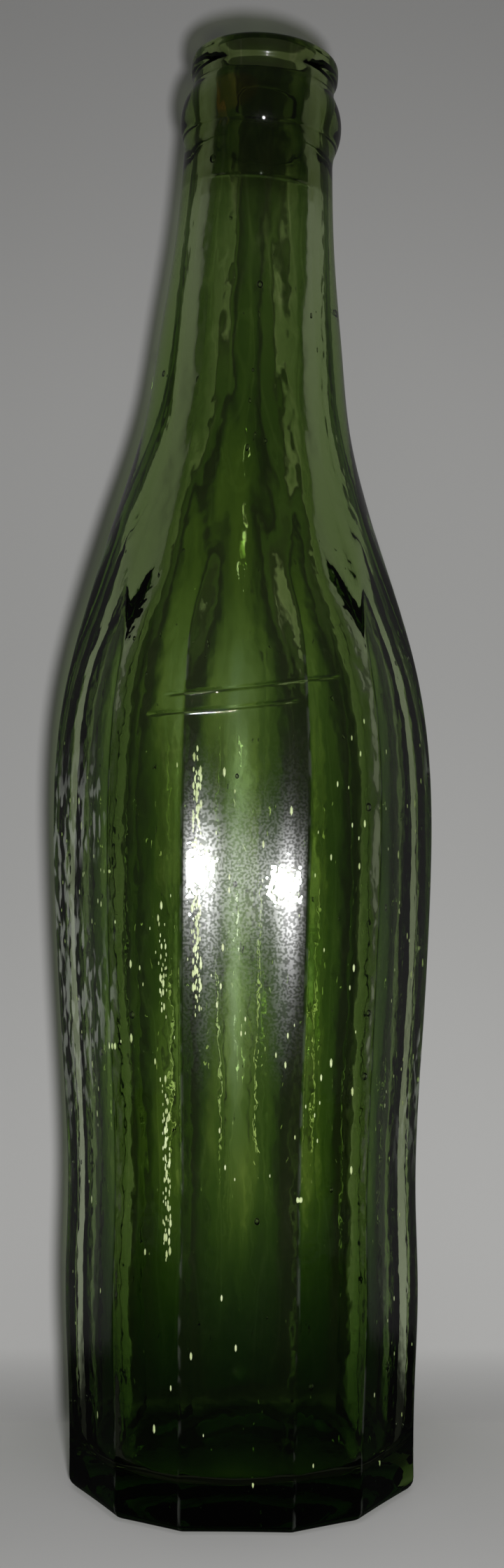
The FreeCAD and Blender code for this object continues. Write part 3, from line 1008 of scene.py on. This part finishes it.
# ---------------------------------------------------------------- seeds and scale
# Chains of pale specks on the inside, which stand in for glints: degrees from the front, and where
# each starts and ends in millimetres up the bottle.
CHAINS = [
    (-25.5, 42, 76), (-25.5, 84, 104), (-8.0, 45, 78), (5.8, 47, 86), (24.5, 60, 90),
    (-15.0, 84, 132), (-4.0, 100, 142), (97.0, 60, 120), (131.0, 35, 80),
    (165.0, 50, 110), (-160.0, 45, 95), (-118.0, 60, 125),
]
CHAIN_WIDTH = math.radians(0.38)
CHAIN_FADE = 8
# The specks that lie loose, as shares of the density in a chain.
LOOSE_LOW = 0.001
LOOSE_MORE = 0.0025
SPECK_TALL = 3.0
SPECK_SHIFT = -0.05 * MM

# Between which heights the bubbles lie, how deep in the wall, and how drawn out they are.
SEEDS_FROM = 12 * MM
SEEDS_TO = 236 * MM
SEEDS_DEEPEST = -3.2 * MM
SEEDS_SHALLOWEST = -1.0 * MM
SEED_TALL = 1.35

# Fixed seeds of the random sizes and depths.
SIZE_SEED = 5
DEPTH_SEED = 9


def scatter(tree, glass, keep, density, seed):
    """Points on the faces of the glass where keep holds."""
    info = tree.add("GeometryNodeObjectInfo", None, {"Object": glass}, output="Geometry")
    return tree.add("GeometryNodeDistributePointsOnFaces", None,
                    {"Mesh": info, "Selection": keep, "Density": density, "Seed": seed})


def grain(tree, points, least, most, tall, shift, subdivisions):
    """A small round grain at each point, sunk along the glass's normal by its shift."""
    normal = Value(tree, points.socket.node.outputs["Normal"])
    moved = tree.add("GeometryNodeSetPosition", None,
                     {"Geometry": points, "Offset": tree.scaled(normal, shift)})
    size = least + (most - least) * tree.random(0.0, 1.0, SIZE_SEED).power(2.0)
    ball = tree.add("GeometryNodeMeshIcoSphere", None,
                    {"Radius": 1.0, "Subdivisions": subdivisions})
    return tree.add("GeometryNodeInstanceOnPoints", None, {
        "Points": moved, "Instance": ball, "Scale": tree.join(size, size, size * tall)})


def seed_geometry(grains, glass, material):
    """Air bubbles in the wall, a little drawn out upwards."""
    tree = GeometryTree("bottle_seeds")
    host = tree.input("Glass", glass, "Object")
    least, most = tree.sizes(grains, "seed_least", "seed_most")
    seed = tree.input("Seed", grains.seed, "Int")
    density = tree.input("Seeds to a Square Metre", grains.seed_density)
    air = tree.input("Air", material, "Material")
    _, _, z = tree.split(tree.add("GeometryNodeInputPosition"))
    keep = (tree.attribute("inside") < 0.5) * (z > SEEDS_FROM) * (z < SEEDS_TO)
    points = scatter(tree, host, keep, density, seed)
    depth = tree.random(SEEDS_DEEPEST, SEEDS_SHALLOWEST, DEPTH_SEED)
    balls = grain(tree, points, least, most, SEED_TALL, depth, 2)
    turned = tree.step("FlipFaces", tree.step("RealizeInstances", balls))
    tree.finish(tree.step("SetShadeSmooth", turned), air)
    return tree


def glint_speck_geometry(grains, glass, material):
    """Pale specks in upright runs on the inside wall, standing in for glints."""
    tree = GeometryTree("bottle_scale")
    host = tree.input("Glass", glass, "Object")
    least, most = tree.sizes(grains, "smallest_glint_speck", "largest_glint_speck")
    seed = tree.input("Seed", grains.seed, "Int")
    density = tree.input("Specks to a Square Metre", grains.glint_speck_density)
    speck_look = tree.input("Scale", material, "Material")
    position = tree.add("GeometryNodeInputPosition")
    x, y, z = tree.split(position)
    turn = x.maths("ARCTAN2", 0 - y)
    chains = 0.0
    for degrees, low, high in CHAINS:
        start = z.between(low * MM, (low + CHAIN_FADE) * MM)
        end = 1 - z.between((high - CHAIN_FADE) * MM, high * MM)
        chains = (turn - math.radians(degrees)).bell(CHAIN_WIDTH) * (start * end) + chains
    loose = (LOOSE_LOW + z.over("loose specks") * LOOSE_MORE) * z.under("loose specks' end")
    wanted = chains * tree.noise(position, "breaks").edge("breaks") + loose
    points = scatter(tree, host, tree.attribute("inside") > 0.5, density * wanted, seed)
    flakes = grain(tree, points, least, most, SPECK_TALL, SPECK_SHIFT, 1)
    tree.finish(tree.step("RealizeInstances", flakes), speck_look)
    return tree


def air_material(looks):
    """The skin of an air bubble in the glass."""
    material = bpy.data.materials.new("air")
    tree = MaterialTree(material)
    cloud = tree.noise(tree.place(), "cloud").edge("cloud")
    skin = tree.add("ShaderNodeBsdfPrincipled", None, {
        "Base Color": tree.mix_colour(cloud, WHITE, looks.scuff), "Roughness": 0.0,
        "IOR": looks.bend, "Transmission Weight": 1.0})
    tree.finish({"Surface": skin})
    return material


def glint_speck_material(looks):
    """Pale specks that stand in for glints: painted highlights."""
    material = bpy.data.materials.new("scale")
    tree = MaterialTree(material)
    patch = tree.noise(tree.place(), "speck_look").edge("speck_look")
    skin = tree.add("ShaderNodeBsdfPrincipled", None, {
        "Base Color": tree.mix_colour(patch, looks.scale, looks.dark_glint_specks), "Roughness": 0.35})
    tree.finish({"Surface": skin})
    return material


class SODA_OT_grains(bpy.types.Operator):
    """Put bubbles in the wall and pale specks, standing in for glints, on the inside"""

    bl_idname = "soda.grains"
    bl_label = "Bubbles and Scale"

    def execute(self, context):
        scene = context.scene
        glass = bpy.data.objects.get("glass")
        if glass is None:
            raise RuntimeError("make the glass first")
        for name, material, geometry in (
            ("seeds", air_material(scene.soda_looks), seed_geometry),
            # Pale specks that stand in for glints: painted highlights.
            ("scale", glint_speck_material(scene.soda_looks), glint_speck_geometry),
        ):
            piece = geometry(scene.soda_grains, glass, material).make(name, material)
            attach(piece, "root")
        return {"FINISHED"}


class SODA_OT_glass(bpy.types.Operator):
    """Make the glass of the bottle in one piece"""

    bl_idname = "soda.glass"
    bl_label = "Glass"

    def execute(self, context):
        scene = context.scene
        rows = glass_outline(scene.soda_shape, scene.soda_finish)
        outline = outline_object(rows)
        material = glass_material(scene.soda_looks)
        tree = glass_geometry(
            scene.soda_shape, scene.soda_flow, outline, len(rows), material)
        glass = tree.make("glass", material)
        bpy.data.objects.remove(outline)
        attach(glass, "root")
        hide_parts("bottle")
        return {"FINISHED"}


# ---------------------------------------------------------------- the stage
# How much darker the cloth is where glass mirrors it, and the floor inside the glass, and how
# much lighter it is low down and high up, where less light falls.
MIRRORED_DARK = 0.65
FLOOR_DARK = 0.95
LOW_LIFT = 0.28
HIGH_LIFT = 0.14


def cloth_material(stage):
    """Pale cloth, lit and shaded near the bottle and plain further off and higher up.  It
    isn't seen from behind."""
    material = bpy.data.materials.new("cloth")
    tree = MaterialTree(material)
    normal = tree.add("ShaderNodeNewGeometry", None, None, output="Normal")
    _, _, level = tree.split(normal)
    upright = (1 - level * level).power(0.5)
    light = upright + level * stage.floor_light
    shade = tree.scaled(stage.cloth, 1 / light)
    through = tree.ray("Is Transmission Ray")
    bounced = tree.ray("Glossy Depth") > 0.5
    mirrored = tree.ray("Is Glossy Ray") * (1 - through)
    dim = (mirrored * MIRRORED_DARK).most(bounced * level * FLOOR_DARK)
    x, y, z = tree.split(tree.place())
    low = z.under("low cloth") * (1 - level) * LOW_LIFT
    shade = tree.scaled(tree.scaled(shade, 1 - dim), 1 + low + z.over("high cloth") * HIGH_LIFT)
    cloth = tree.add("ShaderNodeBsdfDiffuse", None, {"Color": shade})
    away = (x * x + y * y).power(0.5).over("far cloth").most(z.over("top cloth"))
    looked_at = tree.ray("Is Camera Ray").most(through * (1 - bounced))
    plain = tree.add("ShaderNodeEmission", None, {"Color": stage.pale, "Strength": 1.0})
    near = tree.mixed(away * looked_at, cloth, plain)
    behind = tree.add("ShaderNodeNewGeometry", None, None, output="Backfacing")
    surface = tree.mixed(behind, near, tree.add("ShaderNodeBsdfTransparent"))
    tree.finish({"Surface": surface})
    return material


def make_floor(stage):
    """A floor that runs up into a backdrop close behind the bottle."""
    back = CAD_HIGH.y + stage.backdrop_gap
    profile = [(-stage.floor_front, 0.0)]
    profile += [(y, z) for y, z in arc((back - stage.cove, stage.cove), stage.cove, -90, 0, 12)]
    profile += [(back, stage.cove), (back, stage.reach)]
    vertices = [(side * stage.reach, y, z) for side in (-1, 1) for y, z in profile]
    run = len(profile)
    faces = [(run + step, run + step + 1, step + 1, step) for step in range(run - 1)]
    mesh = bpy.data.meshes.new("floor")
    mesh.from_pydata(vertices, [], faces)
    mesh.materials.append(cloth_material(stage))
    mesh.polygons.foreach_set("use_smooth", [True] * len(faces))
    floor = bpy.data.objects.new("floor", mesh)
    bpy.context.scene.collection.objects.link(floor)


def make_world(stage):
    """A room that is pale behind what is seen or seen through, and dark elsewhere."""
    world = bpy.data.worlds.new("room")
    bpy.context.scene.world = world
    tree = MaterialTree(world)
    seen_through = tree.ray("Is Transmission Ray") * (tree.ray("Glossy Depth") < 0.5)
    pale = tree.ray("Is Camera Ray").most(seen_through)
    shade = tree.mix_colour(pale, (stage.room,) * 3, stage.pale)
    background = tree.add("ShaderNodeBackground", None, {"Color": shade, "Strength": 1.0})
    tree.finish({"Surface": background}, "World")


def make_lamp(name, place, target, size, power):
    """A soft round lamp at a place, turned to its target."""
    lamp = bpy.data.lights.new(name, "AREA")
    lamp.shape = "DISK"
    lamp.size = size
    lamp.energy = power
    holder = bpy.data.objects.new(name, lamp)
    holder.location = place
    direction = target - holder.location
    holder.rotation_euler = direction.to_track_quat("-Z", "Y").to_euler()
    bpy.context.scene.collection.objects.link(holder)
    return holder


SENSOR_MM = 36.0
CLIP_START = 10 * MM


def make_camera(stage):
    """A level camera in front of the bottle."""
    camera = bpy.data.cameras.new("camera")
    camera.lens = stage.lens
    camera.sensor_width = SENSOR_MM
    camera.shift_y = stage.shift
    camera.clip_start = CLIP_START
    holder = bpy.data.objects.new("camera", camera)
    holder.location = (stage.camera_side, -stage.camera_distance, stage.camera_height)
    holder.rotation_euler = (math.pi / 2, 0.0, 0.0)
    bpy.context.scene.collection.objects.link(holder)
    bpy.context.scene.camera = holder
    return holder


class SODA_OT_stage(bpy.types.Operator):
    """Make the floor, the backdrop, the lamps and the camera"""

    bl_idname = "soda.stage"
    bl_label = "Stage"

    def execute(self, context):
        stage = context.scene.soda_stage
        context.scene.view_settings.view_transform = "Standard"
        make_floor(stage)
        make_world(stage)
        camera = make_camera(stage)
        middle = (CAD_LOW + CAD_HIGH) / 2
        flash = camera.location.copy()
        flash.x += stage.flash_side
        flash.z -= stage.flash_drop
        ahead = flash.copy()
        ahead.y = middle.y
        lamp = make_lamp("flash", flash, ahead, stage.flash_size, stage.flash)
        lamp.data.spread = stage.flash_spread
        overhead = middle.copy()
        overhead.y -= stage.fill_front
        overhead.z += stage.fill_rise
        fill = make_lamp("fill", overhead, middle, stage.fill_size, stage.fill)
        fill.visible_glossy = False
        fill.visible_transmission = False
        return {"FINISHED"}


class SODA_PT_bottle(bpy.types.Panel):
    """Lists the pieces of the bottle"""

    bl_idname = "SODA_PT_bottle"
    bl_label = "Soda Bottle"
    bl_space_type = "VIEW_3D"
    bl_region_type = "UI"
    bl_category = "Soda Bottle"

    def draw(self, context):
        column = self.layout.column()
        for operator in OPERATORS:
            column.operator(operator.bl_idname)


GROUPS = {
    "soda_shape": BottleShape,
    "soda_finish": FinishShape,
    "soda_flow": GlassFlow,
    "soda_looks": GlassLooks,
    "soda_grains": GrainShape,
    "soda_stage": StageShape,
}
OPERATORS = (SODA_OT_stage, SODA_OT_glass, SODA_OT_grains)


def register():
    for name, group in GROUPS.items():
        bpy.utils.register_class(group)
        setattr(bpy.types.Scene, name, bpy.props.PointerProperty(type=group))
    for operator in OPERATORS:
        bpy.utils.register_class(operator)
    bpy.utils.register_class(SODA_PT_bottle)


def unregister():
    bpy.utils.unregister_class(SODA_PT_bottle)
    for operator in reversed(OPERATORS):
        bpy.utils.unregister_class(operator)
    for name, group in reversed(GROUPS.items()):
        delattr(bpy.types.Scene, name)
        bpy.utils.unregister_class(group)


def main():
    register()
    bpy.ops.soda.stage()
    bpy.ops.soda.glass()
    bpy.ops.soda.grains()


if __name__ == "__main__":
    main()
